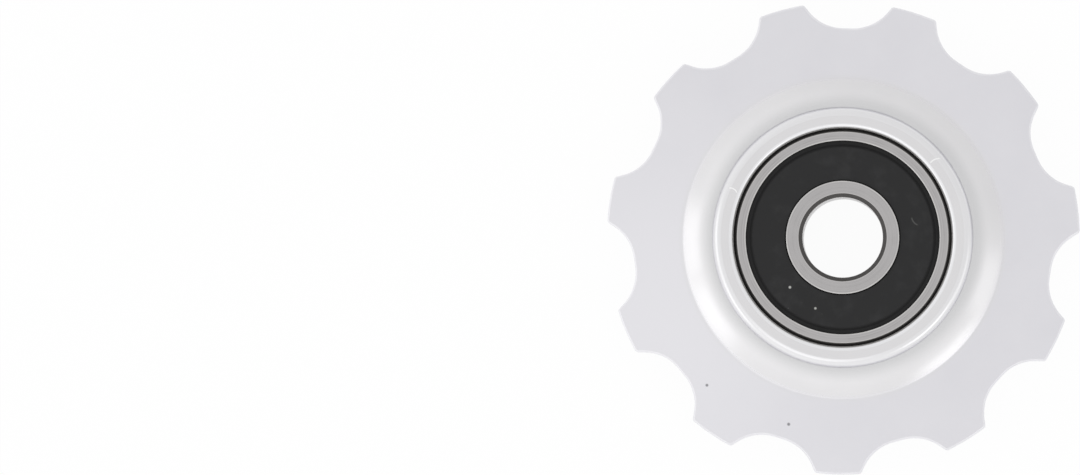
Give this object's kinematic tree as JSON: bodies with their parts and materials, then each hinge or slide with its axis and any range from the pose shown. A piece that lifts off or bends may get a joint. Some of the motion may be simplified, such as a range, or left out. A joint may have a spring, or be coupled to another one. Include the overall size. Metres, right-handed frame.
{
  "type": "derailleur jockey wheel",
  "caption": "Toothed aluminium wheel that guides a bicycle chain through a rear derailleur, with a scooped web and a pressed-in sealed ball bearing.",
  "frame": {"origin": "middle of the bore, halfway through the bearing and the toothed plate", "axes": "+Z along the axle towards the front, the side the bearing is pressed in from; +Y through the middle of a tooth gap, up as seen from the front; +X to the right as seen from the front"},
  "size_m": [0.0412, 0.041, 0.007],
  "materials": {
    "turned_aluminium": "satin",
    "ground_ring_steel": "ground",
    "polished_ball_steel": "polished",
    "pressed_cage_steel": "rolled",
    "seal_rubber": "matte",
    "seal_core_steel": "rolled"
  },
  "bodies": {
    "inner_ring": {"bearing_inner_ring": "ground_ring_steel"},
    "wheel": {"toothed_wheel": "turned_aluminium", "bearing_outer_ring": "ground_ring_steel", "seal_front": "seal_rubber", "seal_back": "seal_rubber", "seal_core_front": "seal_core_steel", "seal_core_back": "seal_core_steel"},
    "cage": {"cage_front": "pressed_cage_steel", "cage_back": "pressed_cage_steel", "cage_rivet_1": "pressed_cage_steel", "cage_rivet_2": "pressed_cage_steel", "cage_rivet_3": "pressed_cage_steel", "cage_rivet_4": "pressed_cage_steel", "cage_rivet_5": "pressed_cage_steel", "cage_rivet_6": "pressed_cage_steel", "cage_rivet_7": "pressed_cage_steel"},
    "ball_1": {"bearing_ball_1": "polished_ball_steel"},
    "ball_2": {"bearing_ball_2": "polished_ball_steel"},
    "ball_3": {"bearing_ball_3": "polished_ball_steel"},
    "ball_4": {"bearing_ball_4": "polished_ball_steel"},
    "ball_5": {"bearing_ball_5": "polished_ball_steel"},
    "ball_6": {"bearing_ball_6": "polished_ball_steel"},
    "ball_7": {"bearing_ball_7": "polished_ball_steel"}
  },
  "joints": [
    {"name": "wheel_spin", "type": "hinge", "parent": "inner_ring", "child": "wheel", "pos_m": [0, 0, 0], "axis": [0, 0, 1], "continuous": true},
    {"name": "cage_spin", "type": "hinge", "parent": "inner_ring", "child": "cage", "pos_m": [0, 0, 0], "axis": [0, 0, 1], "continuous": true},
    {"name": "ball_1_spin", "type": "hinge", "parent": "cage", "child": "ball_1", "pos_m": [0, 0.0065, 0], "axis": [0, 0, 1], "continuous": true},
    {"name": "ball_2_spin", "type": "hinge", "parent": "cage", "child": "ball_2", "pos_m": [-0.00508, 0.00405, 0], "axis": [0, 0, 1], "continuous": true},
    {"name": "ball_3_spin", "type": "hinge", "parent": "cage", "child": "ball_3", "pos_m": [-0.00634, -0.00145, 0], "axis": [0, 0, 1], "continuous": true},
    {"name": "ball_4_spin", "type": "hinge", "parent": "cage", "child": "ball_4", "pos_m": [-0.00282, -0.00586, 0], "axis": [0, 0, 1], "continuous": true},
    {"name": "ball_5_spin", "type": "hinge", "parent": "cage", "child": "ball_5", "pos_m": [0.00282, -0.00586, 0], "axis": [0, 0, 1], "continuous": true},
    {"name": "ball_6_spin", "type": "hinge", "parent": "cage", "child": "ball_6", "pos_m": [0.00634, -0.00145, 0], "axis": [0, 0, 1], "continuous": true},
    {"name": "ball_7_spin", "type": "hinge", "parent": "cage", "child": "ball_7", "pos_m": [0.00508, 0.00405, 0], "axis": [0, 0, 1], "continuous": true}
  ],
  "couplings": [
    {"joint": "cage_spin", "follows": "wheel_spin", "ratio": 0.63462},
    {"joint": "ball_1_spin", "follows": "wheel_spin", "ratio": 1.7225},
    {"joint": "ball_2_spin", "follows": "wheel_spin", "ratio": 1.7225},
    {"joint": "ball_3_spin", "follows": "wheel_spin", "ratio": 1.7225},
    {"joint": "ball_4_spin", "follows": "wheel_spin", "ratio": 1.7225},
    {"joint": "ball_5_spin", "follows": "wheel_spin", "ratio": 1.7225},
    {"joint": "ball_6_spin", "follows": "wheel_spin", "ratio": 1.7225},
    {"joint": "ball_7_spin", "follows": "wheel_spin", "ratio": 1.7225}
  ]
}
